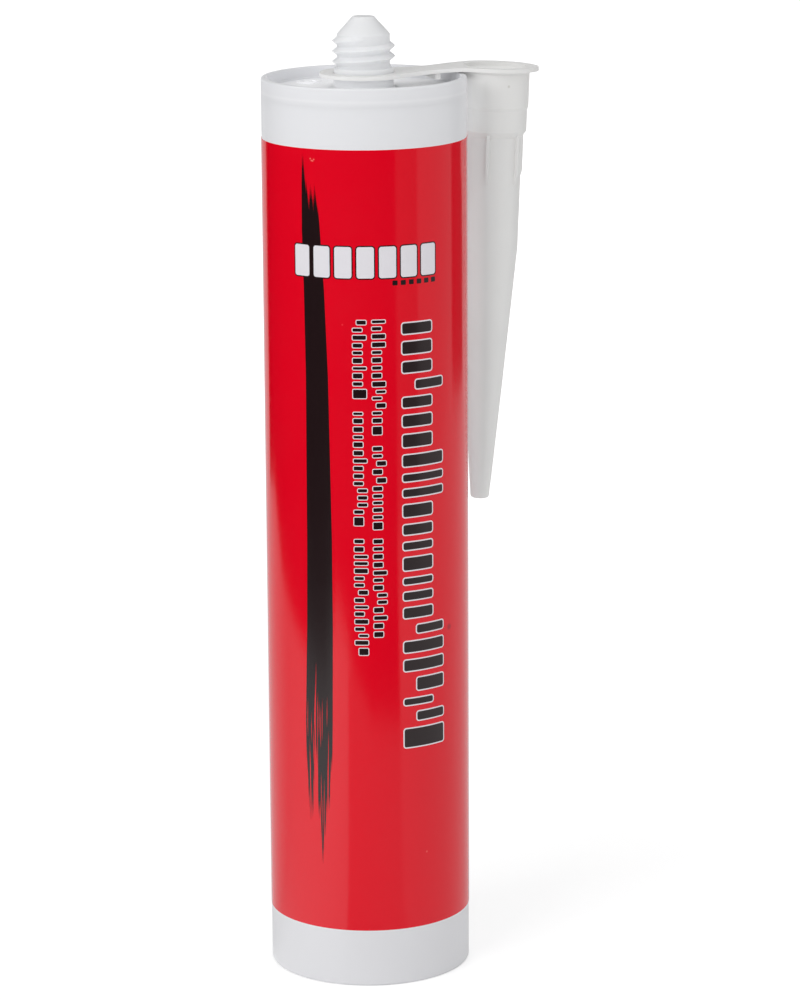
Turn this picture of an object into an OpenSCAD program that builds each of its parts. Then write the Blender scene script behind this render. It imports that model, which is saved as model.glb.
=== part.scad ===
// Sealant cartridge with a hanging nozzle, standing on its open base.
// Origin: centre of the open base. +Z: along the barrel, towards the outlet.
// The nozzle hangs on the +X side, and the middle of the label faces -Y.

/* [Barrel] */
// Outside diameter of the barrel
barrel_d = 50; // [46:0.5:60]
// Thickness of the barrel wall
barrel_wall = 1.7; // [1.3:0.1:2.4]
// Height from the open base to the top of the rim
barrel_h = 224; // [190:1:260]
// Depth of the head below the top of the rim
head_recess = 2.8; // [2.2:0.1:5]
// Thickness of the head
head_t = 1.8; // [1.2:0.1:3]
// Thickness of the rim round the head
rim_wall = 1.5; // [1:0.1:2.4]
// Length of the wider lead-in at the open base
lead_in_h = 8; // [5:0.5:12]
// How far the lead-in stands back from the bore
lead_in_step = 0.4; // [0.2:0.05:0.8]
// Rounding of the rim and base edges
edge_r = 0.4; // [0.2:0.05:0.6]

/* [Outlet] */
// Height of the outlet above the top of the rim
outlet_h = 14.5; // [13:0.5:18]
// Diameter of the outlet between its threads
outlet_d = 12.9; // [11.5:0.1:14]
// Diameter of the plain foot of the outlet
outlet_foot_d = 14.6; // [14.2:0.1:15]
// Height of the plain foot above the top of the rim
outlet_foot_h = 2.2; // [1.8:0.1:2.6]
// Height of the cone on top of the outlet
outlet_cone_h = 4.2; // [3:0.1:5]
// Diameter of the flat tip of the cone
outlet_tip_d = 5.5; // [4:0.1:6.5]
// Diameter of the passage through the outlet
outlet_bore_d = 9.4; // [7:0.1:9.8]
// Diameter over the thread
thread_d = 15.3; // [15.2:0.1:16]
// Pitch of the thread
thread_pitch = 2.5; // [2.4:0.1:3]
// Fillet at the foot of the outlet
foot_fillet = 0.5; // [0.3:0.1:0.8]
// Diameter of the moulding mark on the head
mark_d = 6; // [4:0.5:8]
// Width of the moulding mark's raised ring
mark_w = 0.8; // [0.5:0.1:1.2]
// Height of the moulding mark
mark_h = 0.3; // [0.2:0.1:0.5]
// Distance of the moulding mark from the middle of the head
mark_out = 17.6; // [16:0.1:18]

/* [Hanger] */
// Thickness of the hanger plate
plate_t = 0.9; // [0.7:0.05:1.2]
// Clearance under the hanger plate, above the rim
plate_gap = 0.1; // [0.1:0.05:0.3]
// Clearance round the outlet's foot in the hanger ring
ring_gap = 0.2; // [0.1:0.05:0.3]
// Width of the hanger ring round its hole
ring_w = 3.25; // [2.5:0.05:4.5]
// Radius of the hollow curve at each side of the strap
waist_r = 17; // [14:0.5:24]
// Depth of the small stop under the strap
stop_depth = 1.4; // [0.8:0.1:1.8]
// Thickness of the small stop under the strap
stop_t = 1.2; // [0.8:0.1:2]
// Width of the small stop under the strap
stop_w = 7.5; // [4:0.5:9]
// Distance from the stop to the inside of the rim
stop_back = 5; // [3:0.5:7]

/* [Nozzle] */
// Length of the nozzle from its mouth to its tip
nozzle_len = 108.5; // [90:0.5:130]
// Outside diameter of the flange at the mouth
flange_d = 21.4; // [20.5:0.1:24]
// Outside diameter of the collar
collar_d = 17; // [16.9:0.1:18.5]
// Length of the collar, with the socket inside it
collar_h = 15.8; // [15:0.1:18]
// Distance from the mouth to the small step on the collar
collar_step_at = 9.8; // [6:0.1:12]
// Depth of the small step on the collar
collar_step = 0.25; // [0.1:0.05:0.35]
// Fillet under the flange
flange_fillet = 0.8; // [0.3:0.1:0.8]
// Diameter of the shank below the collar
shank_d = 14.5; // [13.5:0.1:15.5]
// Distance from the mouth to where the shank starts to taper
shank_end = 45; // [35:1:55]
// Outside diameter at the tip
tip_d = 4.7; // [4.4:0.1:7]
// Swell of the taper past a straight cone
taper_swell = 0.05; // [0:0.01:0.4]
// Thickness of the nozzle wall below the collar
nozzle_wall = 1; // [0.8:0.05:1.2]
// Clearance round the outlet's thread in the socket
thread_gap = 0.1; // [0.05:0.05:0.2]
// Depth of the plain bevel at the mouth of the socket
mouth_h = 1; // [0.6:0.1:1.6]
// Angle by which the nozzle leans towards the barrel
lean = 2.3; // [0:0.1:3]
// Clearance between the collar and the barrel
collar_gap = 0.3; // [0.3:0.05:2]

/* [Grip ribs] */
// Number of ribs round the shank
rib_count = 6; // [4:1:12]
// Width of a rib
rib_w = 0.7; // [0.5:0.05:1.2]
// How far a rib stands out of the shank
rib_proud = 0.8; // [0.3:0.05:0.8]
// Distance from the mouth to the end of a rib's full height
rib_end = 26; // [22:0.5:30]
// Length of the run-out at the end of a rib
rib_runout = 3.7; // [1:0.1:4]

/* [Piston] */
// Height of the piston
piston_h = 24; // [18:0.5:32]
// Clearance of the sealing lips in the bore
lip_gap = 0.05; // [0.02:0.01:0.08]
// How far a sealing lip stands out of the skirt
lip_proud = 0.6; // [0.3:0.05:1]
// Length of a sealing lip
lip_h = 1.8; // [1.2:0.1:3]
// Thickness of the skirt
skirt_t = 1.3; // [1:0.1:1.8]
// Thickness of the crown
crown_t = 1.8; // [1.2:0.1:3]
// Slope on the edge of the crown
crown_slope = 1.1; // [0.5:0.1:1.6]
// Number of ribs under the crown
crown_ribs = 8; // [4:1:12]
// Thickness of a rib under the crown
crown_rib_t = 1; // [0.8:0.1:1.6]
// Height of the ribs under the crown
crown_rib_h = 6; // [4:0.5:9]
// Outside diameter of the boss under the crown
boss_d = 11; // [8:0.5:16]
// Height of the boss under the crown
boss_h = 7.2; // [3:0.4:11]
// Distance from the open base to the piston, as filled
piston_inset = 14.4; // [13:0.1:40]

/* [Contents] */
// Play left round the sealant
sealant_gap = 0.03; // [0.01:0.01:0.1]

/* [Label] */
// Height of the lower bare band
band_low = 14.5; // [10:0.5:25]
// Height of the upper bare band, with the rim
band_high = 14.6; // [12:0.1:25]
// Thickness of the label
label_t = 0.1; // [0.05:0.01:0.15]
// Play left under each layer on the barrel
layer_gap = 0.01; // [0.01:0.01:0.03]
// Thickness of the printed ink
ink_t = 0.04; // [0.03:0.01:0.06]
// Width of the long stripe
stripe_w = 6; // [4:0.5:8]
// Length of the long stripe
stripe_len = 173; // [130:1:180]
// Distance from the label's top edge to the stripe
stripe_drop = 3; // [2:0.5:10]
// Distance from the label's top edge to the bars
bars_drop = 41; // [36:1:50]
// Length of a column of bars
bars_len = 108; // [80:1:120]
// Width of the two long bars
title_w = 5; // [3:0.5:7]
// Width of the short bars beside them
small_w = 2.2; // [1.5:0.1:3]
// Width of the outline round a long bar
outline_w = 0.5; // [0.3:0.05:0.8]
// Width of the outline round a short bar or a tile
fine_outline_w = 0.3; // [0.2:0.05:0.5]
// Number of tiles in the row above the bars
tile_count = 7; // [3:2:9]
// Width of a tile
tile_w = 4.2; // [3:0.1:4.5]
// Height of a tile
tile_h = 7.6; // [5:0.2:9]
// Distance between two tiles
tile_gap = 1.2; // [1:0.1:2]
// Distance from the label's top edge to the middle of the tiles
tile_drop = 27; // [20:0.5:30]
// Length of the thin bar under the tiles
underline_len = 12; // [8:0.5:14]
// Thickness of the thin bar under the tiles
underline_t = 1.4; // [0.8:0.1:2]

/* [Hidden] */
$fn = 96;

barrel_r = barrel_d / 2;
bore_r = barrel_r - barrel_wall;
lead_r = bore_r + lead_in_step;
rim_in_r = barrel_r - rim_wall;
deck_z = barrel_h - head_recess;
head_z = deck_z - head_t;

outlet_r = outlet_d / 2;
foot_r = outlet_foot_d / 2;
outlet_top = barrel_h + outlet_h;
cone_z = outlet_top - outlet_cone_h;
foot_top = barrel_h + outlet_foot_h;
outlet_bore_r = outlet_bore_d / 2;
tip_r_outlet = outlet_tip_d / 2;
tip_wall = 1.2;
tip_bore_r = tip_r_outlet - 1;
top_edge = 0.1;
foot_edge = 0.3;

thread_r = thread_d / 2;
thread_crest = 0.12;
thread_base = 0.9 * thread_pitch;
thread_sink = 0.1;
thread_root = 0.45;
thread_end_angle = 250;
thread_top_z = cone_z - thread_base / 2 + thread_sink;
thread_turns = (cone_z - foot_top) / thread_pitch - 0.65;

plate_z = barrel_h + plate_gap;
plate_top = plate_z + plate_t;
ring_hole_r = foot_r + ring_gap;
ring_r = ring_hole_r + ring_w;

flange_r = flange_d / 2;
collar_r = collar_d / 2;
shank_r = shank_d / 2;
tip_r = tip_d / 2;
socket_r = thread_r + thread_gap;
socket_end = 0.8;
socket_h = collar_h - socket_end;
socket_cone = 2.2;
tap_play = 0.2;
tap_r = outlet_r + thread_gap + tap_play;
collar_run = 1.5;
step_run = 0.8;
tip_round = 0.6;
shank_draft = 0.1;
rib_sink = 0.3;
label_r = barrel_r + layer_gap + label_t;
ink_r = label_r + layer_gap;
low_collar_r = collar_r - collar_step;
nozzle_reach = max([for (p = [[collar_r, collar_step_at], [low_collar_r, collar_h],
                              [shank_r + rib_proud, rib_end], [shank_r, shank_end], [tip_r, nozzle_len]])
                    p[0] + p[1] * tan(lean)]);
nozzle_x = barrel_r + collar_gap + nozzle_reach;

strap_flat = 1.5;
strap_bend_x = ring_r + strap_flat;
stop_x = rim_in_r - stop_back - stop_t;

piston_top = piston_inset + piston_h;
sealant_h = head_z - piston_top;
lip_r = bore_r - lip_gap;
skirt_r = lip_r - lip_proud;

label_mid_angle = -110;
label_top = barrel_h - band_high;
ink_play = 0.02;
mark_angle = 120;
barrel_colour = [0.91, 0.91, 0.93];
beyond = 1;

// Ridge of a right-hand screw thread on a shaft round the Z axis. It ends at
// top_z and top_angle, and fades into the shaft at each end.
module thread_ridge(shaft_r, depth, turns, top_z, top_angle) {
    per_turn = 24;
    steps = ceil(turns * per_turn);
    fade = 4;
    half_base = thread_base / 2;
    half_crest = thread_crest / 2;
    function section(i) =
        let (crest = shaft_r + min(1, (i + 0.5) / fade, (steps - i + 0.5) / fade) * depth)
        [[shaft_r - thread_root, -half_base], [shaft_r - thread_sink, -half_base], [crest, -half_crest],
         [crest, half_crest], [shaft_r - thread_sink, half_base], [shaft_r - thread_root, half_base]];
    points = [for (i = [0 : steps], p = section(i))
        let (back = steps - i, a = top_angle - back * 360 / per_turn)
        [p[0] * cos(a), p[0] * sin(a), top_z - back * thread_pitch / per_turn + p[1]]];
    m = 6;
    sides = [for (i = [0 : steps - 1], k = [0 : m - 1], half = [0, 1])
        let (a = i * m + k, b = i * m + (k + 1) % m)
        half == 0 ? [a, b, b + m] : [a, b + m, a + m]];
    ends = [[for (k = [m - 1 : -1 : 0]) k], [for (k = [0 : m - 1]) steps * m + k]];
    polyhedron(points, concat(sides, ends), convexity = 6);
}

// Tube of the barrel, open at the base. The head above it belongs to the same moulding.
module barrel() {
    e = edge_r;
    color(barrel_colour) rotate_extrude() polygon([
        [lead_r, 0], [barrel_r - e, 0], [barrel_r - 0.3 * e, 0.3 * e], [barrel_r, e],
        [barrel_r, head_z], [bore_r, head_z],
        [bore_r, lead_in_h + lead_in_step], [lead_r, lead_in_h]]);
}

// Rim, recessed head and outlet on top of the tube.
module head() {
    e = edge_r;
    color(barrel_colour) union() {
        rotate_extrude() polygon([
            [barrel_r, head_z], [barrel_r, barrel_h - e], [barrel_r - 0.3 * e, barrel_h - 0.3 * e],
            [barrel_r - e, barrel_h], [rim_in_r + e / 2, barrel_h], [rim_in_r, barrel_h - e / 2],
            [rim_in_r, deck_z + e], [rim_in_r - e, deck_z],
            [foot_r + foot_fillet, deck_z], [foot_r, deck_z + foot_fillet],
            [foot_r, foot_top - foot_edge], [foot_r - foot_edge, foot_top], [outlet_r, foot_top],
            [outlet_r, cone_z], [tip_r_outlet, outlet_top - top_edge],
            [tip_r_outlet - top_edge, outlet_top],
            [0, outlet_top], [0, outlet_top - tip_wall], [tip_bore_r, outlet_top - tip_wall],
            [outlet_bore_r, cone_z - foot_edge], [outlet_bore_r, head_z + head_t / 2],
            [outlet_bore_r + head_t / 2, head_z]]);
        thread_ridge(outlet_r, thread_r - outlet_r, thread_turns, thread_top_z, thread_end_angle);
        rotate([0, 0, mark_angle]) translate([mark_out, 0, deck_z - mark_h]) {
            difference() {
                cylinder(d = mark_d, h = 2 * mark_h);
                translate([0, 0, -beyond]) cylinder(d = mark_d - 2 * mark_w, h = 2 * mark_h + 2 * beyond);
            }
            cylinder(d = mark_d / 3, h = 2 * mark_h);
        }
    }
}

// Outside of the nozzle below the hanger plate, in the nozzle's own leaning frame.
module nozzle_outside() {
    s0 = shank_end;
    taper_len = nozzle_len - s0;
    end_r = shank_r - shank_draft;
    fillet_r = collar_r + flange_fillet;
    stations = 6;
    function taper_r(t) = end_r + (tip_r - end_r) * t + 4 * taper_swell * t * (1 - t);
    rotate_extrude() polygon(concat(
        [[0, -plate_t / 2], [fillet_r, -plate_t / 2], [fillet_r, -plate_t],
         [collar_r, -plate_t - flange_fillet], [collar_r, -collar_step_at],
         [low_collar_r, -collar_step_at - step_run],
         [low_collar_r, -collar_h], [shank_r, -collar_h - collar_run]],
        [for (i = [0 : stations]) let (t = i / (stations + 0.5)) [taper_r(t), -s0 - taper_len * t]],
        [[tip_r, tip_round - nozzle_len], [tip_r - tip_round / 3, tip_round / 3 - nozzle_len],
         [tip_r - tip_round, -nozzle_len], [0, -nozzle_len]]));
}

// Mouth, threaded socket and passage through the nozzle, in the same frame.
module nozzle_inside() {
    neck_r = shank_r - nozzle_wall;
    way_r = tip_r - nozzle_wall;
    rotate_extrude() polygon([
        [0, beyond], [socket_r, beyond], [socket_r, -mouth_h], [tap_r, -mouth_h - socket_r + tap_r],
        [tap_r, -socket_h], [neck_r, -socket_h - socket_cone], [neck_r - shank_draft, -shank_end],
        [way_r, 2 * nozzle_wall - nozzle_len], [way_r, -beyond - nozzle_len], [0, -beyond - nozzle_len]]);
    thread_ridge(tap_r, socket_r - tap_r, thread_turns, -mouth_h - thread_base / 2, 180);
}

module grip_rib() {
    inner = shank_r - rib_sink;
    rotate([90, 0, 0]) translate([0, 0, -rib_w / 2]) linear_extrude(rib_w)
        polygon([[inner, -collar_h], [shank_r + rib_proud / 2, -collar_h - collar_run / 4],
                 [shank_r + rib_proud, -collar_h - collar_run],
                 [shank_r + rib_proud, -rib_end], [inner, -rib_end - rib_runout]]);
}

// Plan of ring, strap and flange, with a hollow waist that meets both round ends.
module hanger_plan() {
    waist_x = (nozzle_x + (pow(waist_r + ring_r, 2) - pow(waist_r + flange_r, 2)) / nozzle_x) / 2;
    waist_y = sqrt(pow(waist_r + ring_r, 2) - pow(waist_x, 2));
    circle(r = ring_r);
    translate([nozzle_x, 0]) circle(r = flange_r);
    difference() {
        polygon([[0, 0], [waist_x, -waist_y], [nozzle_x, 0], [waist_x, waist_y]]);
        for (side = [-1, 1]) translate([waist_x, side * waist_y]) circle(r = waist_r);
    }
}

// Side view of the plate: flat over the rim, then sloped to the leaning mouth.
module hanger_side() {
    rise = tan(lean);
    slope_x = nozzle_x - flange_r;
    end_x = nozzle_x + flange_r + beyond;
    function over(x) = plate_top + (nozzle_x - x) * rise;
    polygon([
        [-ring_r - beyond, plate_z], [strap_bend_x, plate_z],
        [slope_x, over(slope_x) - plate_t], [end_x, over(end_x) - plate_t],
        [end_x, over(end_x)], [slope_x, over(slope_x)],
        [strap_bend_x, plate_top], [-ring_r - beyond, plate_top]]);
}

// Ring, strap, flange and nozzle: one moulding, hung on the outlet.
module nozzle() {
    reach = 2 * flange_r * tan(lean) + beyond;
    color([0.86, 0.87, 0.85]) difference() {
        union() {
            intersection() {
                translate([0, 0, plate_z - reach]) linear_extrude(plate_t + 2 * reach) hanger_plan();
                rotate([90, 0, 0]) translate([0, 0, -flange_d]) linear_extrude(2 * flange_d) hanger_side();
            }
            translate([stop_x, -stop_w / 2, plate_z - stop_depth])
                cube([stop_t, stop_w, stop_depth + plate_t / 2]);
            translate([nozzle_x, 0, plate_top]) rotate([0, lean, 0]) {
                nozzle_outside();
                for (k = [0 : rib_count - 1]) rotate([0, 0, k * 360 / rib_count]) grip_rib();
            }
        }
        translate([0, 0, plate_z - beyond]) cylinder(r = ring_hole_r, h = plate_t + 2 * beyond);
        translate([nozzle_x, 0, plate_top]) rotate([0, lean, 0]) nozzle_inside();
    }
}

// Piston: a cup, open to the base, with two sealing lips, a boss and ribs.
module piston() {
    inner_r = skirt_r - skirt_t;
    boss_r = boss_d / 2;
    color([0.80, 0.81, 0.80]) translate([0, 0, piston_top]) {
        rotate_extrude() polygon([
            [0, 0], [lip_r - crown_slope, 0], [lip_r, -crown_slope],
            [lip_r, -crown_slope - lip_h], [skirt_r, -crown_slope - lip_h - lip_proud],
            [skirt_r, lip_h + lip_proud - piston_h], [lip_r, lip_h - piston_h],
            [lip_r, -piston_h], [inner_r, -piston_h],
            [inner_r, -crown_t - crown_slope], [inner_r - crown_slope, -crown_t], [0, -crown_t]]);
        difference() {
            union() {
                translate([0, 0, -crown_t - boss_h]) cylinder(r = boss_r, h = boss_h + crown_t / 2);
                for (k = [0 : crown_ribs - 1]) rotate([0, 0, (k + 0.5) * 360 / crown_ribs])
                    translate([boss_r - skirt_t / 2, -crown_rib_t / 2, -crown_t - crown_rib_h])
                        cube([inner_r + skirt_t - boss_r, crown_rib_t, crown_rib_h + crown_t / 2]);
            }
            translate([0, 0, -crown_t - boss_h - beyond])
                cylinder(r = boss_r - skirt_t, h = boss_h + crown_t + beyond);
        }
    }
}

// Contents between the piston and the head.
module sealant() {
    color([0.95, 0.94, 0.90]) translate([0, 0, piston_top + 2 * sealant_gap])
        cylinder(r = bore_r - sealant_gap, h = sealant_h - 3 * sealant_gap);
}

// Thin round layer on the barrel.
module layer(inner_r, t, low, high) {
    translate([0, 0, low]) rotate_extrude() translate([inner_r, 0]) square([t, high - low]);
}

module label() {
    color([0.87, 0.02, 0.09]) layer(barrel_r + layer_gap, label_t, band_low, label_top);
}

// Outline of its children, driven through the label. Their X runs round the barrel from
// angle (to the right of the label's middle) and their Y is 0 at the label's top edge.
module through(angle) {
    rotate([0, 0, label_mid_angle + angle]) rotate([90, 0, 90]) translate([0, label_top, barrel_r / 2])
        linear_extrude(barrel_r) children();
}

// Ink in the outline of its children.
module ink(angle) {
    intersection() {
        layer(ink_r, ink_t, band_low, label_top);
        through(angle) children();
    }
}

// Upright bar with round ends, centred on X, from low to high, grown by more.
module bar(w, low, high, more = 0) {
    translate([-w / 2 - more, low + w / 2]) square([w + 2 * more, high - low - w]);
    for (y = [low + w / 2, high - w / 2]) translate([0, y]) circle(r = w / 2 + more);
}

// Upright tile with round corners, centred on X at the height mid, grown by more.
module tile(w, h, mid, more = 0) {
    r = 0.15 * min(w, h);
    translate([0, mid]) {
        square([w + 2 * more, h - 2 * r], center = true);
        square([w - 2 * r, h + 2 * more], center = true);
        for (x = [-1, 1], y = [-1, 1]) translate([x * (w / 2 - r), y * (h / 2 - r)]) circle(r = r + more);
    }
}

// Bars in place of print: [angle, width, low, high, outline]. Their ends are shares of the
// column's length, measured up from its lower end.
function column(angle, w, outline, spans) =
    [for (p = spans)
        [angle, w, (p[0] - 1) * bars_len - bars_drop, (p[1] - 1) * bars_len - bars_drop, outline]];
bars = concat(
    column(31, title_w, outline_w, [[0, 0.59], [0.63, 0.99]]),
    column(6.5, small_w, fine_outline_w, [[0.27, 0.5], [0.52, 0.71], [0.74, 1]]),
    column(-4, small_w, fine_outline_w, [[0.23, 0.5], [0.53, 0.79], [0.82, 1]]));
tile_turn = (tile_w + tile_gap) / ink_r * 180 / PI;
tile_angles = [for (k = [0 : tile_count - 1]) (k - (tile_count - 1) / 2) * tile_turn];
underline_angle = 28.4;
underline_mid = -tile_drop - tile_h / 2 - underline_t;

// Long tapered stripe, split into points at both ends: shares of its width and length.
module stripe() {
    translate([0, -stripe_drop]) scale([stripe_w, stripe_len]) polygon([
        [-0.43, -0.94], [-0.32, -0.94], [-0.27, -0.78], [-0.18, -0.78], [-0.1, -0.98], [0.02, -1],
        [0.08, -0.79], [0.15, -0.76], [0.22, -0.89], [0.32, -0.89], [0.4, -0.73], [0.5, -0.5],
        [0.45, -0.32], [0.37, -0.17], [0.17, -0.1], [0.03, -0.05], [-0.03, -0.1], [-0.13, -0.09],
        [-0.22, -0.01], [-0.32, 0], [-0.33, -0.12], [-0.5, -0.13], [-0.42, -0.32], [-0.45, -0.61]]);
}

module dark_print() {
    color([0.12, 0.07, 0.08]) {
        difference() {
            union() {
                ink(-29.2) stripe();
                for (angle = tile_angles) ink(angle) tile(tile_w, tile_h, -tile_drop, fine_outline_w);
            }
            for (angle = tile_angles) through(angle) tile(tile_w, tile_h, -tile_drop, ink_play);
        }
        for (b = bars) ink(b[0]) bar(b[1], b[2], b[3]);
        ink(underline_angle) tile(underline_len, underline_t, underline_mid);
    }
}

module pale_print() {
    color([0.93, 0.93, 0.94]) {
        for (b = bars) ink(b[0]) difference() {
            bar(b[1], b[2], b[3], b[4]);
            bar(b[1], b[2], b[3], ink_play);
        }
        for (angle = tile_angles) ink(angle) tile(tile_w, tile_h, -tile_drop);
    }
}

barrel();
head();
nozzle();
piston();
sealant();
label();
dark_print();
pale_print();
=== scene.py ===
import math
import random

import bmesh
import bpy
from mathutils import Matrix, Vector


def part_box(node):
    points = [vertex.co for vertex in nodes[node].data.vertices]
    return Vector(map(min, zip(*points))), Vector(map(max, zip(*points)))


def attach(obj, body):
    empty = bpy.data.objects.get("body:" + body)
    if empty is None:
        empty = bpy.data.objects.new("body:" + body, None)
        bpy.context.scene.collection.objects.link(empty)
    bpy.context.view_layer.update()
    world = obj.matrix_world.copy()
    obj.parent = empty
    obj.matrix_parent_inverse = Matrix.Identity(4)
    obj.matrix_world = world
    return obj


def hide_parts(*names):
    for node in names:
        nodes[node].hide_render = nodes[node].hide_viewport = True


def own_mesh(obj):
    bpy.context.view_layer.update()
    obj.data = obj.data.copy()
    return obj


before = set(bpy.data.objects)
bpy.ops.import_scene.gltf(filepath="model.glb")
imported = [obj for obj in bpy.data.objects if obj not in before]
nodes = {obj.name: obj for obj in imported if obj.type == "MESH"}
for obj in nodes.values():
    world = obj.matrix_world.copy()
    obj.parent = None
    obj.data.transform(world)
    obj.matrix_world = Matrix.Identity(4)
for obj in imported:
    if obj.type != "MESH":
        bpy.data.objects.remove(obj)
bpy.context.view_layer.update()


mm = 0.001
scene = bpy.context.scene


def newMaterial(name):
    material = bpy.data.materials.new(name)
    material.use_nodes = True
    tree = material.node_tree
    tree.nodes.clear()
    output = tree.nodes.new("ShaderNodeOutputMaterial")
    shader = tree.nodes.new("ShaderNodeBsdfPrincipled")
    tree.links.new(shader.outputs["BSDF"], output.inputs["Surface"])
    return material, tree, shader


def feed(node, values):
    # plain values are set on the node's sockets, and the outputs of other nodes are linked to them
    for name, value in values.items():
        socket = node.inputs[name]
        if isinstance(value, bpy.types.NodeSocket):
            node.id_data.links.new(value, socket)
        elif socket.type == "RGBA":
            socket.default_value = (*value, 1.0)
        else:
            socket.default_value = value


def addNode(tree, kind, values, operation=None):
    node = tree.nodes.new("ShaderNode" + kind)
    if operation:
        node.operation = operation
    feed(node, values)
    return node


def mathNode(tree, operation, a, b=None, clamp=False):
    node = addNode(tree, "Math", {0: a} if b is None else {0: a, 1: b}, operation)
    node.use_clamp = clamp
    return node.outputs[0]


def noiseNode(tree, vector, scale, detail=2.0, roughness=0.5):
    values = {"Vector": vector, "Scale": scale, "Detail": detail, "Roughness": roughness}
    return addNode(tree, "TexNoise", values).outputs["Fac"]


def mixColour(tree, factor, a, b):
    node = tree.nodes.new("ShaderNodeMix")
    node.data_type = "RGBA"
    feed(node, {"Factor": factor, "A": a, "B": b})
    return node.outputs["Result"]


def objectPlace(tree):
    return tree.nodes.new("ShaderNodeTexCoord").outputs["Object"]


def drawnOut(tree, place, along):
    # places that stretch a noise along the barrel, where along is less than 1
    return addNode(tree, "Mapping", {"Vector": place, "Scale": (1.0, 1.0, along)}).outputs[0]


def swing(tree, noise, amount, middle=0.5):
    # how far the noise is from its middle, up or down by the amount at most
    away = mathNode(tree, "MULTIPLY", mathNode(tree, "SUBTRACT", noise, middle), amount)
    return mathNode(tree, "MULTIPLY", away, 2.0)


def brighten(tree, colour, change):
    scale = mathNode(tree, "ADD", change, 1.0)
    return addNode(tree, "VectorMath", {0: colour, "Scale": scale}, "SCALE").outputs[0]


def addSocket(tree, name, direction, kind="NodeSocketFloat", value=None):
    socket = tree.interface.new_socket(name=name, in_out=direction, socket_type=kind)
    if value is not None:
        socket.default_value = value


def groupEnds(tree):
    return tree.nodes.new("NodeGroupInput").outputs, tree.nodes.new("NodeGroupOutput")


def makeMouldedSurface():
    # slow clouding, fine grain and long faint rubs of a moulded plastic skin
    tree = bpy.data.node_groups.new("MouldedSurface", "ShaderNodeTree")
    addSocket(tree, "Colour", "INPUT", "NodeSocketColor", (0.8, 0.8, 0.8, 1.0))
    addSocket(tree, "Cloud Scale", "INPUT", value=40.0)
    addSocket(tree, "Cloud Amount", "INPUT", value=0.03)
    addSocket(tree, "Cloud Height", "INPUT", value=0.5)
    addSocket(tree, "Grain Scale", "INPUT", value=2500.0)
    addSocket(tree, "Grain Height", "INPUT", value=0.5)
    addSocket(tree, "Roughness", "INPUT", value=0.4)
    addSocket(tree, "Rub Scale", "INPUT", value=260.0)
    addSocket(tree, "Rub Amount", "INPUT", value=0.08)
    addSocket(tree, "Colour", "OUTPUT", "NodeSocketColor")
    addSocket(tree, "Roughness", "OUTPUT")
    addSocket(tree, "Height", "OUTPUT")
    entry, leave = groupEnds(tree)
    place = objectPlace(tree)

    cloud = noiseNode(tree, place, entry["Cloud Scale"], detail=3.0)
    rub = noiseNode(tree, drawnOut(tree, place, along=0.12), entry["Rub Scale"], detail=4.0, roughness=0.62)
    grain = noiseNode(tree, place, entry["Grain Scale"])
    rubbed = mathNode(tree, "ADD", entry["Roughness"], swing(tree, rub, entry["Rub Amount"]), clamp=True)
    height = mathNode(tree, "ADD", mathNode(tree, "MULTIPLY", grain, entry["Grain Height"]),
                      mathNode(tree, "MULTIPLY", cloud, entry["Cloud Height"]))
    feed(leave, {"Colour": brighten(tree, entry["Colour"], swing(tree, cloud, entry["Cloud Amount"])),
                 "Roughness": rubbed, "Height": height})
    return tree


def makePlaceMask():
    # 1 inside a radius round the barrel's axis and below a height, fading out at its edges
    tree = bpy.data.node_groups.new("PlaceMask", "ShaderNodeTree")
    addSocket(tree, "Radius", "INPUT", value=1.0)
    addSocket(tree, "Radius Fade", "INPUT", value=0.001)
    addSocket(tree, "Height", "INPUT", value=1.0)
    addSocket(tree, "Height Fade", "INPUT", value=0.001)
    addSocket(tree, "Mask", "OUTPUT")
    entry, leave = groupEnds(tree)
    place = addNode(tree, "SeparateXYZ", {0: objectPlace(tree)}).outputs
    across = [mathNode(tree, "MULTIPLY", place[axis], place[axis]) for axis in ("X", "Y")]
    radius = mathNode(tree, "SQRT", mathNode(tree, "ADD", *across))
    inside = mathNode(tree, "SUBTRACT", entry["Radius"], radius)
    inside = mathNode(tree, "DIVIDE", inside, entry["Radius Fade"], clamp=True)
    below = mathNode(tree, "SUBTRACT", entry["Height"], place["Z"])
    below = mathNode(tree, "DIVIDE", below, entry["Height Fade"], clamp=True)
    feed(leave, {"Mask": mathNode(tree, "MULTIPLY", inside, below)})
    return tree


def makeFleck():
    # a small soft mark at one place of the surface
    tree = bpy.data.node_groups.new("Fleck", "ShaderNodeTree")
    addSocket(tree, "Colour", "INPUT", "NodeSocketColor", (0.5, 0.5, 0.5, 1.0))
    addSocket(tree, "Fleck Colour", "INPUT", "NodeSocketColor", (0.2, 0.2, 0.2, 1.0))
    addSocket(tree, "Place", "INPUT", "NodeSocketVector")
    addSocket(tree, "Size", "INPUT", value=0.0005)
    addSocket(tree, "Softness", "INPUT", value=0.6)
    addSocket(tree, "Colour", "OUTPUT", "NodeSocketColor")
    entry, leave = groupEnds(tree)
    away = addNode(tree, "VectorMath", {0: objectPlace(tree), 1: entry["Place"]}, "DISTANCE").outputs["Value"]
    inside = mathNode(tree, "SUBTRACT", entry["Size"], away)
    fade = mathNode(tree, "MULTIPLY", entry["Size"], entry["Softness"])
    mask = mathNode(tree, "DIVIDE", inside, fade, clamp=True)
    feed(leave, {"Colour": mixColour(tree, mask, entry["Colour"], entry["Fleck Colour"])})
    return tree


mouldedSurface = makeMouldedSurface()
placeMaskTree = makePlaceMask()
fleckTree = makeFleck()


def placeGroup(tree, groupTree, values):
    group = tree.nodes.new("ShaderNodeGroup")
    group.node_tree = groupTree
    feed(group, values)
    return group.outputs


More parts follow.
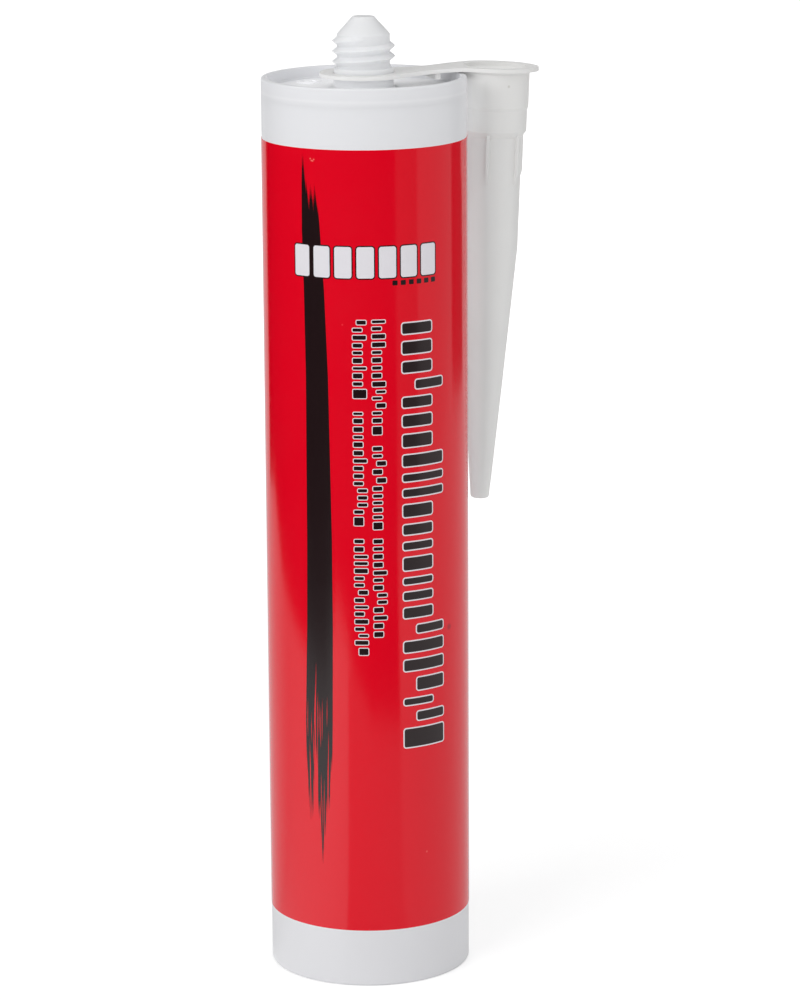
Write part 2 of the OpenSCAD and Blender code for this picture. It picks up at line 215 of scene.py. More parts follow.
def placeMask(tree, values):
    return placeGroup(tree, placeMaskTree, values)["Mask"]


def addFlecks(tree, colour, flecks):
    # flecks: place, size in millimetres, colour
    for place, size, tone in flecks:
        values = {"Colour": colour, "Fleck Colour": tone, "Place": place, "Size": size * mm}
        colour = placeGroup(tree, fleckTree, values)["Colour"]
    return colour


def addPaintedGlow(tree, shader, mask, strength):
    # painted light: an emission glow where the mask is, standing in for light that comes through the plastic
    # into its shaded places
    glow = mixColour(tree, mask, (0.0, 0.0, 0.0), (1.0, 1.0, 1.0))
    feed(shader, {"Emission Color": glow, "Emission Strength": strength})


def surfaceMaterial(name, look, surfaceTree):
    # a shader whose colour, roughness and bump come from a surface group
    material, tree, shader = newMaterial(name)
    feed(shader, look["sockets"])
    surface = placeGroup(tree, surfaceTree, {"Colour": look["colour"], **look["surface"]})
    bump = addNode(tree, "Bump", {"Distance": look["bump"], "Height": surface["Height"]})
    feed(shader, {"Roughness": surface["Roughness"], "Normal": bump.outputs["Normal"]})
    colour = addFlecks(tree, surface["Colour"], look.get("flecks", []))
    feed(shader, {"Base Color": colour})
    return material, tree, shader, colour


def dress(obj, material):
    obj.data.materials.clear()
    obj.data.materials.append(material)


def newPiece(name, build, material, body):
    mesh = bpy.data.meshes.new(name)
    bm = bmesh.new()
    build(bm)
    bmesh.ops.recalc_face_normals(bm, faces=bm.faces)
    bm.to_mesh(mesh)
    bm.free()
    obj = bpy.data.objects.new(name, mesh)
    scene.collection.objects.link(obj)
    dress(obj, material)
    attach(obj, body)
    return obj


def lathe(bm, profile, segments):
    # closed profile of (radius, height) turned round the Z axis
    rings = []
    for k in range(segments):
        a = 2 * math.pi * k / segments
        rings.append([bm.verts.new((r * math.cos(a), r * math.sin(a), z)) for r, z in profile])
    for k in range(segments):
        one, two = rings[k], rings[(k + 1) % segments]
        for i in range(len(profile)):
            j = (i + 1) % len(profile)
            bm.faces.new((one[i], two[i], two[j], one[j]))


def shadeByAngle(obj, degrees=35):
    for polygon in obj.data.polygons:
        polygon.use_smooth = True
    obj.data.set_sharp_from_angle(angle=math.radians(degrees))


barrelLook = {
    "colour": (0.84, 0.845, 0.87),
    "sockets": {"IOR": 1.5, "Subsurface Radius": (1.0, 1.0, 1.0), "Subsurface Scale": 0.003},
    "surface": {"Cloud Scale": 30.0, "Cloud Amount": 0.012, "Grain Scale": 1800.0, "Roughness": 0.34,
                "Rub Amount": 0.08},
    "bump": 0.00002,
    # parts of the moulding: inside a radius round the axis, or below a height
    "head": {"Radius": 0.0226, "Radius Fade": 0.0006},
    # painted light: the head is coloured lighter than the wall so that its shaded recess reads brighter
    "headColour": (0.955, 0.96, 0.98),
    "outlet": {"Radius": 0.0090, "Radius Fade": 0.0006},
    "outletColour": (0.88, 0.89, 0.91),
    "hollow": {"Height": 0.0146},        # the band with no paste behind it
    "hollowColour": (0.79, 0.79, 0.815),
    "lineHeight": 0.2207,    # where the head meets the wall inside, faintly seen through it
    "lineWidth": 0.0006,
    "lineStrength": 0.35,
    "lineColour": (0.95, 0.95, 0.97),
    "lightWithin": 0.12,     # share of the light that goes into the plastic, and that in the outlet
    "lightInOutlet": 0.6,
    "foot": {"Radius": 0.0225, "Radius Fade": 0.0080},       # round the outlet's foot, where painted light brightens the shaded recess under the strap
    # painted light: strength of the glow that brightens the recess's shade
    "paintedGlow": 0.10,
}

barrelMaterial, tree, shader, colour = surfaceMaterial("barrelPlastic", barrelLook, mouldedSurface)
height = addNode(tree, "SeparateXYZ", {0: objectPlace(tree)}).outputs["Z"]
away = mathNode(tree, "ABSOLUTE", mathNode(tree, "SUBTRACT", height, barrelLook["lineHeight"]))
line = mathNode(tree, "SUBTRACT", 1.0, mathNode(tree, "DIVIDE", away, barrelLook["lineWidth"]), clamp=True)
line = mathNode(tree, "MULTIPLY", line, barrelLook["lineStrength"])
colour = mixColour(tree, line, colour, barrelLook["lineColour"])
# the head's lighter colour is painted light for its shaded recess; the outlet takes its own colour over it
for part in ("head", "hollow", "outlet"):
    mask = placeMask(tree, barrelLook[part])
    colour = mixColour(tree, mask, colour, barrelLook[part + "Colour"])
inOutlet = mask
more = mathNode(tree, "MULTIPLY", inOutlet, barrelLook["lightInOutlet"] - barrelLook["lightWithin"])
within = mathNode(tree, "ADD", more, barrelLook["lightWithin"])
feed(shader, {"Base Color": colour, "Subsurface Weight": within})
# painted light: an emission glow in the recess round the outlet's foot, lifting the strap's shadow there
nearFoot = placeMask(tree, barrelLook["foot"])
recessGlowMask = mathNode(tree, "MULTIPLY", nearFoot, mathNode(tree, "SUBTRACT", 1.0, inOutlet, clamp=True))
addPaintedGlow(tree, shader, recessGlowMask, barrelLook["paintedGlow"])
for name in ("barrel", "head"):
    dress(nodes[name], barrelMaterial)
print("barrel dressed")


nozzleLook = {
    "colour": (0.86, 0.856, 0.843),
    "sockets": {"IOR": 1.5, "Subsurface Weight": 0.2, "Subsurface Radius": (1.0, 0.98, 0.94),
                "Subsurface Scale": 0.004},
    "surface": {"Cloud Scale": 60.0, "Cloud Amount": 0.03, "Grain Scale": 2200.0, "Roughness": 0.38,
                "Rub Amount": 0.10},
    "bump": 0.00002,
    "flecks": [((0.03454, -0.00848, 0.22065), 0.45, (0.71, 0.70, 0.67))],
    # painted light: a glow on the side towards the barrel, below the strap, brightening the shade the barrel
    # casts there
    "nearBarrel": {"Radius": 0.0300, "Radius Fade": 0.0047, "Height": 0.2230},
    "paintedGlow": 0.22,
}

nozzleMaterial, tree, shader = surfaceMaterial("nozzlePlastic", nozzleLook, mouldedSurface)[:3]
addPaintedGlow(tree, shader, placeMask(tree, nozzleLook["nearBarrel"]), nozzleLook["paintedGlow"])
dress(nodes["nozzle"], nozzleMaterial)
print("nozzle dressed")


pistonLook = {
    "colour": (0.66, 0.67, 0.66),
    "sockets": {"IOR": 1.5, "Subsurface Weight": 0.25, "Subsurface Radius": (1.0, 1.0, 0.9),
                "Subsurface Scale": 0.003},
    "surface": {"Cloud Scale": 80.0, "Cloud Amount": 0.03, "Grain Scale": 1600.0, "Roughness": 0.45,
                "Rub Amount": 0.10},
    "bump": 0.00003,
}

dress(nodes["piston"], surfaceMaterial("pistonPlastic", pistonLook, mouldedSurface)[0])
print("piston dressed")


pasteLook = {
    "colour": (0.86, 0.85, 0.80),
    "sockets": {"IOR": 1.45, "Subsurface Weight": 0.3, "Subsurface Radius": (1.0, 0.9, 0.8),
                "Subsurface Scale": 0.002},
    "surface": {"Cloud Scale": 120.0, "Cloud Amount": 0.04, "Grain Scale": 900.0, "Roughness": 0.32,
                "Rub Amount": 0.12},
    "bump": 0.0002,
    "segments": 96,
    "rings": 12,
    "wave": 0.00025,      # low swells where the paste was filled in
    "swells": [(3, 90), (-2, 260)],      # how they wind: round the axis, and outwards
    "flatten": 6,         # power with which they die out at the wall
    "travel": 0.18,
}
pasteLow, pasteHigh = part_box("sealant")
pasteRadius = (pasteHigh.x - pasteLow.x) / 2 - pasteLook["wave"]


def buildPaste(bm):
    look = pasteLook
    n = look["segments"]

    def swell(r, a):
        edge = 1 - (r / pasteRadius) ** look["flatten"]
        return look["wave"] * edge * sum(math.sin(turn * a + out * r) for turn, out in look["swells"]) / 2

    def ring(r, z, side):
        found = []
        for k in range(n):
            a = 2 * math.pi * k / n
            lift = z + side * (swell(r, a) - look["wave"])
            found.append(bm.verts.new((r * math.cos(a), r * math.sin(a), lift)))
        return found

    radii = [pasteRadius * (i + 1) / look["rings"] for i in range(look["rings"])]
    walls = []
    for z, side in ((pasteLow.z, -1), (pasteHigh.z, 1)):
        loops = [ring(r, z, side) for r in radii]
        middle = bm.verts.new((0, 0, z - side * look["wave"]))
        for k in range(n):
            bm.faces.new((middle, loops[0][k], loops[0][(k + 1) % n]))
        for a, b in zip(loops, loops[1:]):
            for k in range(n):
                bm.faces.new((a[k], b[k], b[(k + 1) % n], a[(k + 1) % n]))
        walls.append(loops[-1])
    low, high = walls
    for k in range(n):
        bm.faces.new((low[k], high[k], high[(k + 1) % n], low[(k + 1) % n]))


pasteMaterial = surfaceMaterial("sealantPaste", pasteLook, mouldedSurface)[0]
paste = newPiece("sealantFill", buildPaste, pasteMaterial, "barrel")
shadeByAngle(paste)
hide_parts("sealant")
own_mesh(paste)
print("sealant made")


labelLook = {
    "colour": (0.78, 0.0, 0.013),
    "sockets": {"IOR": 1.5, "Specular IOR Level": 0.44},
    "surface": {"Ink Spread": 0.02, "Roughness": 0.12, "Smudge Amount": 0.05},
    "bump": 0.00002,
    "segments": 288,
    "rows": 40,
    "middle": -110,       # degrees round the barrel
    "inside": 25.01,      # its inner radius in millimetres, just off the barrel
    "edge": 0.03,         # bevel along its rims, in millimetres
    # small rubs and a smudge: angle from the middle, distance from the top edge, size, colour
    "marks": [(52.5, 119.6, 1.0, (0.48, 0.0, 0.014)), (-30.9, 2.35, 0.25, (0.92, 0.2, 0.16)),
              (-30.2, 2.8, 0.25, (0.92, 0.2, 0.16)), (-29.4, 2.85, 0.25, (0.92, 0.2, 0.16)),
              (-28.7, 2.5, 0.25, (0.92, 0.2, 0.16)), (-12.9, 42.1, 0.3, (0.87, 0.05, 0.06)),
              (34.2, 175.8, 0.34, (0.86, 0.08, 0.08))],
}
labelLow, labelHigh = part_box("label")
labelRadius = (labelHigh.x - labelLow.x) / 2
labelTop = labelHigh.z / mm
labelRound = labelRadius / mm


def onLabel(angle, x, y, lift):
    # millimetres: x runs round the barrel from an angle, y is 0 at the label's top edge,
    # and lift is the distance from the film
    r = labelRound + lift
    a = math.radians(labelLook["middle"] + angle) + x / labelRound
    return Vector((r * math.cos(a), r * math.sin(a), labelTop + y)) * mm


def buildLabel(bm):
    rows = labelLook["rows"]
    inside, edge = labelLook["inside"] * mm, labelLook["edge"] * mm
    profile = [(inside, labelLow.z), (labelRadius - edge, labelLow.z)]
    for i in range(rows + 1):
        z = labelLow.z + edge + (labelHigh.z - labelLow.z - 2 * edge) * i / rows
        profile.append((labelRadius, z))
    profile += [(labelRadius - edge, labelHigh.z), (inside, labelHigh.z)]
    lathe(bm, profile, labelLook["segments"])


def makeFilmSurface():
    # stretched film: faint long ripples, orange peel and smudges in the gloss
    tree = bpy.data.node_groups.new("FilmSurface", "ShaderNodeTree")
    addSocket(tree, "Colour", "INPUT", "NodeSocketColor", (0.5, 0.5, 0.5, 1.0))
    addSocket(tree, "Ink Scale", "INPUT", value=1400.0)
    addSocket(tree, "Ink Spread", "INPUT", value=0.02)
    addSocket(tree, "Roughness", "INPUT", value=0.15)
    addSocket(tree, "Smudge Scale", "INPUT", value=55.0)
    addSocket(tree, "Smudge Amount", "INPUT", value=0.05)
    addSocket(tree, "Ripple Scale", "INPUT", value=130.0)
    addSocket(tree, "Peel Scale", "INPUT", value=700.0)
    addSocket(tree, "Peel Height", "INPUT", value=0.12)
    addSocket(tree, "Colour", "OUTPUT", "NodeSocketColor")
    addSocket(tree, "Roughness", "OUTPUT")
    addSocket(tree, "Height", "OUTPUT")
    entry, leave = groupEnds(tree)
    place = objectPlace(tree)

    ink = noiseNode(tree, place, entry["Ink Scale"])
    smudge = noiseNode(tree, place, entry["Smudge Scale"], detail=5.0, roughness=0.6)
    ripple = noiseNode(tree, drawnOut(tree, place, along=0.10), entry["Ripple Scale"])
    peel = noiseNode(tree, place, entry["Peel Scale"], detail=1.0)
    smudge = swing(tree, smudge, entry["Smudge Amount"], middle=0.45)
    peel = mathNode(tree, "MULTIPLY", peel, entry["Peel Height"])
    feed(leave, {"Colour": brighten(tree, entry["Colour"], swing(tree, ink, entry["Ink Spread"])),
                 "Roughness": mathNode(tree, "ADD", entry["Roughness"], smudge, clamp=True),
                 "Height": mathNode(tree, "ADD", ripple, peel)})
    return tree


filmSurface = makeFilmSurface()
marks = [(onLabel(angle, 0, -drop, 0), size, tone) for angle, drop, size, tone in labelLook["marks"]]
labelMaterial = surfaceMaterial("labelFilm", {**labelLook, "flecks": marks}, filmSurface)[0]
label = newPiece("labelFilm", buildLabel, labelMaterial, "barrel")
shadeByAngle(label)
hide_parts("label")
print("label made")


# All sizes of the print are in millimetres, and angles are in degrees from the label's middle.
inkLook = {
    "lift": 0.005,        # first layer above the label
    "layer": 0.014,       # from one layer to the next
    "thickness": 0.011,
    "column": 0.35,       # width of the strips that let a flat shape bend with the barrel
    "cornerSteps": 8,
    "cornerFirst": 0.12,  # where a round corner's first strip begins, in steps
}
darkLook = {
    "colour": (0.016, 0.007, 0.008),
    "sockets": labelLook["sockets"],
    "surface": {"Ink Spread": 0.10, "Roughness": 0.2, "Smudge Amount": 0.05},
    "bump": 0.00002,
}
paleLook = {
    "colour": (0.80, 0.78, 0.82),
    "sockets": labelLook["sockets"],
    "surface": {"Ink Spread": 0.02, "Roughness": 0.2, "Smudge Amount": 0.05},
    "bump": 0.00002,
}
blockLook = {
    # columns of rounded blocks; each run is its upper end and its length, down from the label's top edge
    "long": {"angle": 33.6, "width": 11.6, "outline": 0.32, "block": (1.5, 3.2), "gap": 2.0, "slim": 0.70,
             "corner": 0.5, "runs": [(42.1, 106.0)]},
    "first": {"angle": 7.0, "width": 3.2, "outline": 0.2, "block": (0.6, 1.2), "gap": 0.95, "slim": 0.70,
              "corner": 0.22, "runs": [(41.0, 28.0), (72.0, 20.5), (95.0, 24.5)]},
    "second": {"angle": -3.6, "width": 3.2, "outline": 0.2, "block": (0.6, 1.2), "gap": 0.95, "slim": 0.70,
               "corner": 0.22, "runs": [(41.0, 19.0), (63.5, 28.0), (95.0, 29.0)]},
    "wide": 0.25,         # share of blocks that take the whole width
    "sides": (-1, -1, -1, 1),            # slim ones stand to the left three times in four
    "seed": 5,
}
tileLook = {"count": 7, "width": 4.2, "height": 7.6, "gap": 1.2, "drop": 27.0, "outline": 0.3, "corner": 0.15}
underTiles = {"angle": 28.4, "count": 6, "width": 1.3, "height": 1.2, "gap": 0.8, "below": 0.7, "corner": 0.2}
stripeLook = {
    "angle": -29.2,
    "bristles": 52,
    "seed": 11,
    # down from the label's top edge: left edge, right edge
    "edges": [(3, -3.3, 0.6), (20, -3.4, 1.7), (34, -3.0, 2.6), (55, -2.7, 3.4), (96, -2.9, 4.0),
              (118, -3.2, 4.0), (142, -3.9, 3.7), (178, -3.7, 3.0)],
    # across the stroke from 0 to 1: where its bristles touch down and lift off
    "start": [(0.0, 6.5), (0.05, 0.7), (0.12, 0.7), (0.2, 4), (0.38, 8.5), (0.46, 11.5), (0.56, 8), (0.62, 8),
              (0.72, 11.5), (0.8, 8), (0.88, 8), (1.0, 13.5)],
    "end": [(0.0, 155), (0.08, 164), (0.2, 173), (0.28, 167), (0.33, 154), (0.42, 152), (0.47, 166),
            (0.58, 174), (0.64, 183), (0.7, 174), (0.8, 170), (0.9, 169), (1.0, 152)],
    "startSpread": 2.0,
    "endSpread": 7.0,
    # dry places where the stroke splits: middle, width, from
    "dry": [(0.15, 0.04, 152), (0.37, 0.03, 134), (0.45, 0.03, 130), (0.84, 0.04, 152)],
    "drySpread": (-6.0, 10.0),
    # hairs that reach far may lift off and touch down again: their share, from where, and for how long
    "hairReach": 150,
    "hairShare": 0.35,
    "hairFrom": 138,
    "hairGap": (1.5, 5.0),
    "shortest": 8,        # a run of a bristle that is shorter is left out
    "rise": 3.0,          # lengths over which a bristle grows to its width and thins out
    "fall": 4.0,
    "thinnest": 0.08,     # share of its width at its tips
    # levels where every bristle is cut across, and how far these stay off its tapers
    "cuts": range(0, 200, 6),
    "cutClear": 0.1,
}


def inkSlab(bm, angle, columns, layer):
    # columns: [[(x, y), ...], ...] side by side with as many points each, made into one closed thin slab
    low = inkLook["lift"] + layer * inkLook["layer"]
    sheets = []
    for lift in (low + inkLook["thickness"], low):
        sheets.append([[bm.verts.new(onLabel(angle, x, y, lift)) for x, y in column] for column in columns])
    front, back = sheets
    rows, last = len(columns[0]) - 1, len(columns) - 1
    for k in range(last):
        for i in range(rows):
            bm.faces.new((front[k][i], front[k + 1][i], front[k + 1][i + 1], front[k][i + 1]))
            bm.faces.new((back[k][i], back[k][i + 1], back[k + 1][i + 1], back[k + 1][i]))
        for i in (0, rows):
            bm.faces.new((front[k][i], front[k + 1][i], back[k + 1][i], back[k][i]))
    for k in (0, last):
        for i in range(rows):
            bm.faces.new((front[k][i], front[k][i + 1], back[k][i + 1], back[k][i]))


def roundedColumns(width, low, high, corner, grow=0.0):
    # an upright rectangle with round corners, cut into columns
    half, r = width / 2 + grow, corner + grow
    low, high = low - grow, high + grow
    steps, first = inkLook["cornerSteps"], inkLook["cornerFirst"]
    bend = [-half + r - r * math.cos(math.pi / 2 * (k + first) / (steps + first)) for k in range(steps + 1)]
    middle = max(1, round((2 * half - 2 * r) / inkLook["column"]))
    xs = bend + [-half + r + (2 * half - 2 * r) * k / middle for k in range(1, middle)]
    xs += [-x for x in reversed(bend)]
    found = []
    for x in xs:
        inset = max(0.0, abs(x) - (half - r))
        drop = r - math.sqrt(max(0.0, r * r - inset * inset))
        found.append([(x, low + drop), (x, high - drop)])
    return found


def between(points, x):
    # straight-line value between the given (x, value) points
    for (x0, v0), (x1, v1) in zip(points, points[1:]):
        if x <= x1:
            return v0 + (v1 - v0) * (x - x0) / (x1 - x0)
    return points[-1][1]


def brushStroke(bm):
    look = stripeLook
    draw = random.Random(look["seed"])
    n = look["bristles"]
    rise, fall, clear = look["rise"], look["fall"], look["cutClear"]

    # the same levels for every bristle, so that neighbours meet without a crack
    levels = sorted({*look["cuts"], *(e[0] for e in look["edges"])})

    def edge(side, drop):
        return between([(e[0], e[side]) for e in look["edges"]], drop)

    for k in range(n):
        middle = (k + 0.5) / n
        start = between(look["start"], middle) + draw.uniform(0, look["startSpread"])
        end = between(look["end"], middle) - draw.uniform(0, look["endSpread"])
        for place, width, top in look["dry"]:
            if abs(middle - place) < width / 2:
                end = min(end, top + draw.uniform(*look["drySpread"]))
        runs = [(start, end)]
        if end > look["hairReach"] and draw.random() < look["hairShare"]:
            cut = draw.uniform(look["hairFrom"], end - look["shortest"])
            runs = [(start, cut), (cut + draw.uniform(*look["hairGap"]), end)]
        for high, low in runs:
            if low - high < look["shortest"]:
                continue
            stops = [high, high + rise / 2, high + rise, low - fall, low - fall / 2, low]
            stops += [drop for drop in levels if high + rise + clear < drop < low - fall - clear]
            sides = [[], []]
            for drop in sorted(stops):
                full = max(look["thinnest"], min(1.0, (drop - high) / rise, (low - drop) / fall))
                left, right = edge(1, drop), edge(2, drop)
                for side, points in zip((-0.5, 0.5), sides):
                    points.append((left + (right - left) * (middle + side * full / n), -drop))
            inkSlab(bm, look["angle"], [list(reversed(points)) for points in sides], 0)


def eachBlock():
    # blocks of uneven length, some slimmer and set to one side
    draw = random.Random(blockLook["seed"])
    for name in ("long", "first", "second"):
        look = blockLook[name]
        shortest, longest = look["block"]
        for top, length in look["runs"]:
            drop = top
            while drop < top + length - shortest:
                size = min(draw.uniform(shortest, longest), top + length - drop)
                if top + length - drop - size < shortest + look["gap"]:
                    size = top + length - drop
                width = look["width"] * (1.0 if draw.random() < blockLook["wide"] else look["slim"])
                shift = (look["width"] - width) / 2 * draw.choice(blockLook["sides"])
                angle = look["angle"] + math.degrees(shift / labelRound)
                yield look, angle, width, -drop - size, -drop
                drop += size + look["gap"]


def eachInRow(look):
    # the angles of a row of equal shapes
    turn = math.degrees((look["width"] + look["gap"]) / labelRound)
    for k in range(look["count"]):
        yield look.get("angle", 0) + (k - (look["count"] - 1) / 2) * turn


def tileColumns(grow=0.0):
    look = tileLook
    low, high = -look["drop"] - look["height"] / 2, -look["drop"] + look["height"] / 2
    return roundedColumns(look["width"], low, high, look["corner"] * look["width"], grow)


def buildDarkInk(bm):
    brushStroke(bm)
    for angle in eachInRow(tileLook):
        inkSlab(bm, angle, tileColumns(tileLook["outline"]), 1)
    look = underTiles
    high = -tileLook["drop"] - tileLook["height"] / 2 - look["below"]
    for angle in eachInRow(look):
        inkSlab(bm, angle, roundedColumns(look["width"], high - look["height"], high, look["corner"]), 1)
    for look, angle, width, low, high in eachBlock():
        inkSlab(bm, angle, roundedColumns(width, low, high, look["corner"]), 2)


def buildPaleInk(bm):
    for angle in eachInRow(tileLook):
        inkSlab(bm, angle, tileColumns(), 2)
    for look, angle, width, low, high in eachBlock():
        inkSlab(bm, angle, roundedColumns(width, low, high, look["corner"], look["outline"]), 1)


darkMaterial = surfaceMaterial("darkInk", darkLook, filmSurface)[0]
paleMaterial = surfaceMaterial("paleInk", paleLook, filmSurface)[0]
darkInk = newPiece("darkInk", buildDarkInk, darkMaterial, "barrel")
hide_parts("dark_print")
paleInk = newPiece("paleInk", buildPaleInk, paleMaterial, "barrel")
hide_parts("pale_print")
for piece in (darkInk, paleInk):
    shadeByAngle(piece)
for piece in (label, darkInk, paleInk):
    piece.visible_diffuse = False      # the red stays off the nozzle and the floor
print("print made", len(darkInk.data.polygons), len(paleInk.data.polygons))


cameraLook = {
    "azimuth": -20.0, "distance": 0.97225, "height": 0.344485,
    "pitch": 13.092, "yaw": 0.4811, "roll": -0.3623, "lens": 144.65,
}


def placeCamera(look):
    pitch, yaw, roll = (math.radians(look[k]) for k in ("pitch", "yaw", "roll"))
    forward = Vector((math.sin(yaw) * math.cos(pitch), math.cos(yaw) * math.cos(pitch), -math.sin(pitch)))
    right = Vector((math.cos(yaw), -math.sin(yaw), 0))
    up = right.cross(forward)
    x = right * math.cos(roll) + up * math.sin(roll)
    y = up * math.cos(roll) - right * math.sin(roll)
    turn = Matrix((x, y, -forward)).transposed().to_4x4()
    stand = Matrix.Translation((0, -look["distance"], look["height"]))
    data = bpy.data.cameras.new("camera")
    data.lens = look["lens"]
    data.sensor_width = 36.0
    data.clip_start = 0.05
    data.clip_end = 20.0
    camera = bpy.data.objects.new("camera", data)
    scene.collection.objects.link(camera)
    camera.matrix_world = Matrix.Rotation(math.radians(look["azimuth"]), 4, "Z") @ stand @ turn
    scene.camera = camera


placeCamera(cameraLook)

studioLook = {
    "floor": (0.78, 0.78, 0.78),
    "floorHalf": 3.2,
    "glowNear": 0.40,        # the floor's own glow at the object and far away from it
    "glowFar": 0.76,
    "glowFrom": 0.15,
    "glowTo": 0.9,
    "glossGlow": 0.10,       # its glow in reflections, and how much more it has to one side
    "sideGlow": 0.65,
    "sideTurn": -48,
    "sideFrom": 0.6,
    "roomLight": 0.55,
    "sheetSteps": 60,        # how finely the sheets on the floor are cut round the object
}

# Sheets and boards that only reflections show. Azimuths are taken from the camera's side, plus to the right.
sheets = {
    # on the floor: inner radius at each azimuth, outer radius, level, and level of the turned-up outer edge
    "cloth": {"edge": [(-142, 0.55), (-128, 0.55), (-112, 0.42), (-90, 0.355), (-57, 0.305), (-47, 0.30),
                       (-35, 0.40), (-24, 0.355), (-13, 0.305), (5, 0.257), (34, 0.25)],
              "outer": 2.8, "level": 0.002, "rise": 1.1, "grey": 0.006},
    "greyCloth": {"edge": [(34, 0.50), (60, 0.50)], "outer": 2.8, "level": 0.002, "rise": 1.1, "grey": 0.35},
    # between the dark cloth and the object, under the cloth
    "paleStrip": {"edge": [(-22, 0.04), (34, 0.04)], "outer": 0.32, "level": 0.001, "rise": 0.0011,
                  "grey": 0.65},
}
boards = {
    # on the right, beyond the card
    "board": {"from": 112, "to": 139, "distance": 0.75, "low": 0.002, "high": 0.6, "grey": 0.12},
    # behind, above the light: they are what the faces that look up mirror
    **{f"backBoard{k}": {"from": 110 + 30 * k, "to": 140 + 30 * k, "distance": 0.8, "low": 0.33, "high": 0.95,
                         "grey": 0.2} for k in range(5)},
}

lamps = {
    "rightCard": {"azimuth": 71, "elevation": 0, "distance": 0.6, "size": (1.0, 0.9), "power": 1.0,
                  "target": (0, 0, 0.42)},
    "leftPanel": {"azimuth": -42, "elevation": 22, "distance": 1.5, "size": (1.0, 0.8), "power": 8.2},
    "frontPanel": {"azimuth": 14, "elevation": 10, "distance": 1.4, "size": (0.8, 0.8), "power": 0.5,
                   "target": (0, 0, 0.3)},
    "topPanel": {"azimuth": -30, "elevation": 78, "distance": 1.4, "size": (0.8, 0.8), "power": 1.2},
    "backPanel": {"azimuth": 172, "elevation": 25, "distance": 1.5, "size": (1.0, 0.8), "power": 4},
}


def roundSpot(azimuth, elevation, distance, target):
    # a place seen from target at that azimuth
    a, e = math.radians(azimuth + cameraLook["azimuth"]), math.radians(elevation)
    way = Vector((math.sin(a) * math.cos(e), -math.cos(a) * math.cos(e), math.sin(e)))
    return way * distance + Vector(target)


def placeLamp(name, azimuth, elevation, distance, size, power, target=(0, 0, 0.12)):
    data = bpy.data.lights.new(name, "AREA")
    data.shape = "RECTANGLE"
    data.size, data.size_y = size
    data.energy = power
    lamp = bpy.data.objects.new(name, data)
    scene.collection.objects.link(lamp)
    lamp.location = roundSpot(azimuth, elevation, distance, target)
    lamp.rotation_euler = (Vector(target) - lamp.location).to_track_quat("-Z", "Y").to_euler()
    lamp.visible_camera = False
    lamp.visible_glossy = False


def newSurface(name, points, faces, material):
    mesh = bpy.data.meshes.new(name)
    mesh.from_pydata(points, [], faces)
    obj = bpy.data.objects.new(name, mesh)
    scene.collection.objects.link(obj)
    dress(obj, material)
    return obj


def makeFloor():
    look = studioLook
    material, tree, shader = newMaterial("floorPaper")
    place = objectPlace(tree)
    away = addNode(tree, "VectorMath", {0: place}, "LENGTH").outputs["Value"]
    spread = tree.nodes.new("ShaderNodeMapRange")
    spread.interpolation_type = "SMOOTHSTEP"
    feed(spread, {"Value": away, "From Min": look["glowFrom"], "From Max": look["glowTo"],
                  "To Min": look["glowNear"], "To Max": look["glowFar"]})
    path = tree.nodes.new("ShaderNodeLightPath").outputs
    direct = mathNode(tree, "MAXIMUM", path["Is Camera Ray"], path["Is Transmission Ray"])
    way = addNode(tree, "VectorMath", {0: place}, "NORMALIZE").outputs[0]
    side = roundSpot(look["sideTurn"], 0, 1.0, (0, 0, 0))
    facing = addNode(tree, "VectorMath", {0: way, 1: side}, "DOT_PRODUCT").outputs["Value"]
    toSide = mathNode(tree, "SUBTRACT", facing, look["sideFrom"])
    toSide = mathNode(tree, "DIVIDE", toSide, 1.0 - look["sideFrom"], clamp=True)
    gloss = mathNode(tree, "ADD", mathNode(tree, "MULTIPLY", toSide, look["sideGlow"]), look["glossGlow"])
    glow = mathNode(tree, "ADD", mathNode(tree, "MULTIPLY", direct, spread.outputs["Result"]),
                    mathNode(tree, "MULTIPLY", path["Is Glossy Ray"], gloss))
    feed(shader, {"Base Color": look["floor"], "Roughness": 0.9, "Specular IOR Level": 0.0,
                  "Emission Color": (1.0, 1.0, 1.0), "Emission Strength": glow})
    half = look["floorHalf"]
    newSurface("floor", [(-half, -half, 0), (half, -half, 0), (half, half, 0), (-half, half, 0)],
               [(0, 1, 2, 3)], material)


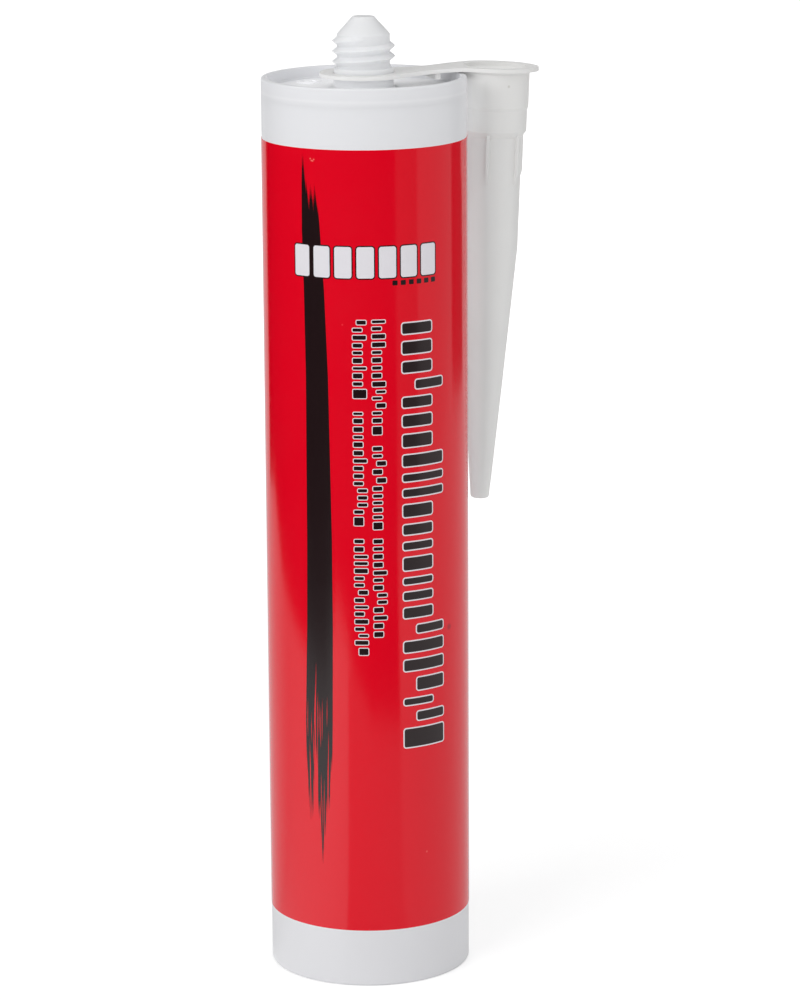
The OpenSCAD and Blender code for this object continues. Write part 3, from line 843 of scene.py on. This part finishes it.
def newMirrored(name, points, faces, grey):
    # seen in reflections, but casts no shade and takes no light
    material, tree, shader = newMaterial(name + "Felt")
    feed(shader, {"Base Color": (grey, grey, grey), "Roughness": 1.0, "Specular IOR Level": 0.0})
    obj = newSurface(name, points, faces, material)
    obj.visible_camera = False
    obj.visible_diffuse = False
    obj.visible_transmission = False
    obj.visible_shadow = False


def makeSheet(name, sheet, steps):
    first, last = sheet["edge"][0][0], sheet["edge"][-1][0]
    outer, level = sheet["outer"], sheet["level"]
    points = []
    for k in range(steps + 1):
        azimuth = first + (last - first) * k / steps
        for r, z in ((between(sheet["edge"], azimuth), level), (outer, level), (outer, sheet["rise"])):
            points.append(tuple(roundSpot(azimuth, 0, r, (0, 0, z))))
    faces = [(3 * k + i, 3 * k + i + 1, 3 * k + i + 4, 3 * k + i + 3) for k in range(steps) for i in (0, 1)]
    newMirrored(name, points, faces, sheet["grey"])


def makeBoard(name, board):
    corners = [tuple(roundSpot(board[side], 0, board["distance"], (0, 0, board[level])))
               for side, level in (("from", "low"), ("to", "low"), ("to", "high"), ("from", "high"))]
    newMirrored(name, corners, [(0, 1, 2, 3)], board["grey"])


def makeRoom():
    # white where the camera, a mirror or something clear looks at it, and a soft light for all else
    world = bpy.data.worlds.new("room")
    scene.world = world
    world.use_nodes = True
    tree = world.node_tree
    path = tree.nodes.new("ShaderNodeLightPath").outputs
    seen = mathNode(tree, "MAXIMUM", path["Is Camera Ray"], path["Is Glossy Ray"])
    seen = mathNode(tree, "MAXIMUM", seen, path["Is Transmission Ray"])
    rest = mathNode(tree, "MULTIPLY", mathNode(tree, "SUBTRACT", 1.0, seen), studioLook["roomLight"])
    feed(tree.nodes["Background"], {"Color": (1.0, 1.0, 1.0), "Strength": mathNode(tree, "ADD", seen, rest)})


for name, values in lamps.items():
    placeLamp(name, **values)
makeFloor()
for name, sheet in sheets.items():
    makeSheet(name, sheet, studioLook["sheetSteps"])
for name, board in boards.items():
    makeBoard(name, board)
makeRoom()
scene.view_settings.view_transform = "Standard"
print("studio set")
